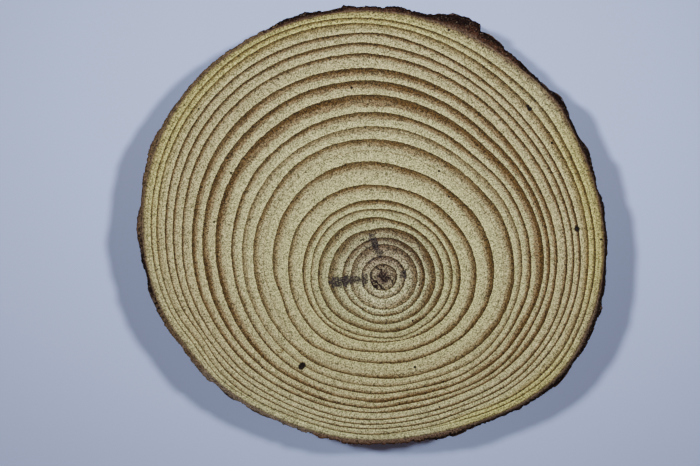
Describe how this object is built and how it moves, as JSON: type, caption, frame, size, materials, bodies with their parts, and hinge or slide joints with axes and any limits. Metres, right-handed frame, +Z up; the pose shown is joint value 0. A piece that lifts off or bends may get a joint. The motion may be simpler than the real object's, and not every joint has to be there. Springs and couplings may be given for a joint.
{
  "type": "wood slice",
  "caption": "Thin round slice sawn across a young pine stem, with off-centre growth rings on a flat face and a thin scaly rind of bark.",
  "frame": {"origin": "on the surface that the slice lies on, under the middle of its outline", "axes": "+Z up out of the sawn face, +X along the slice's longest way across, +Y towards the side on which the rings are widest"},
  "size_m": [0.121, 0.1132, 0.012],
  "materials": {
    "wood": "raw sawn end grain, matt, pale early wood with orange brown late wood",
    "bark": "rough scaly bark, dull dark red brown"
  },
  "bodies": {
    "root": {"wood": "wood", "bark": "bark"}
  },
  "joints": []
}
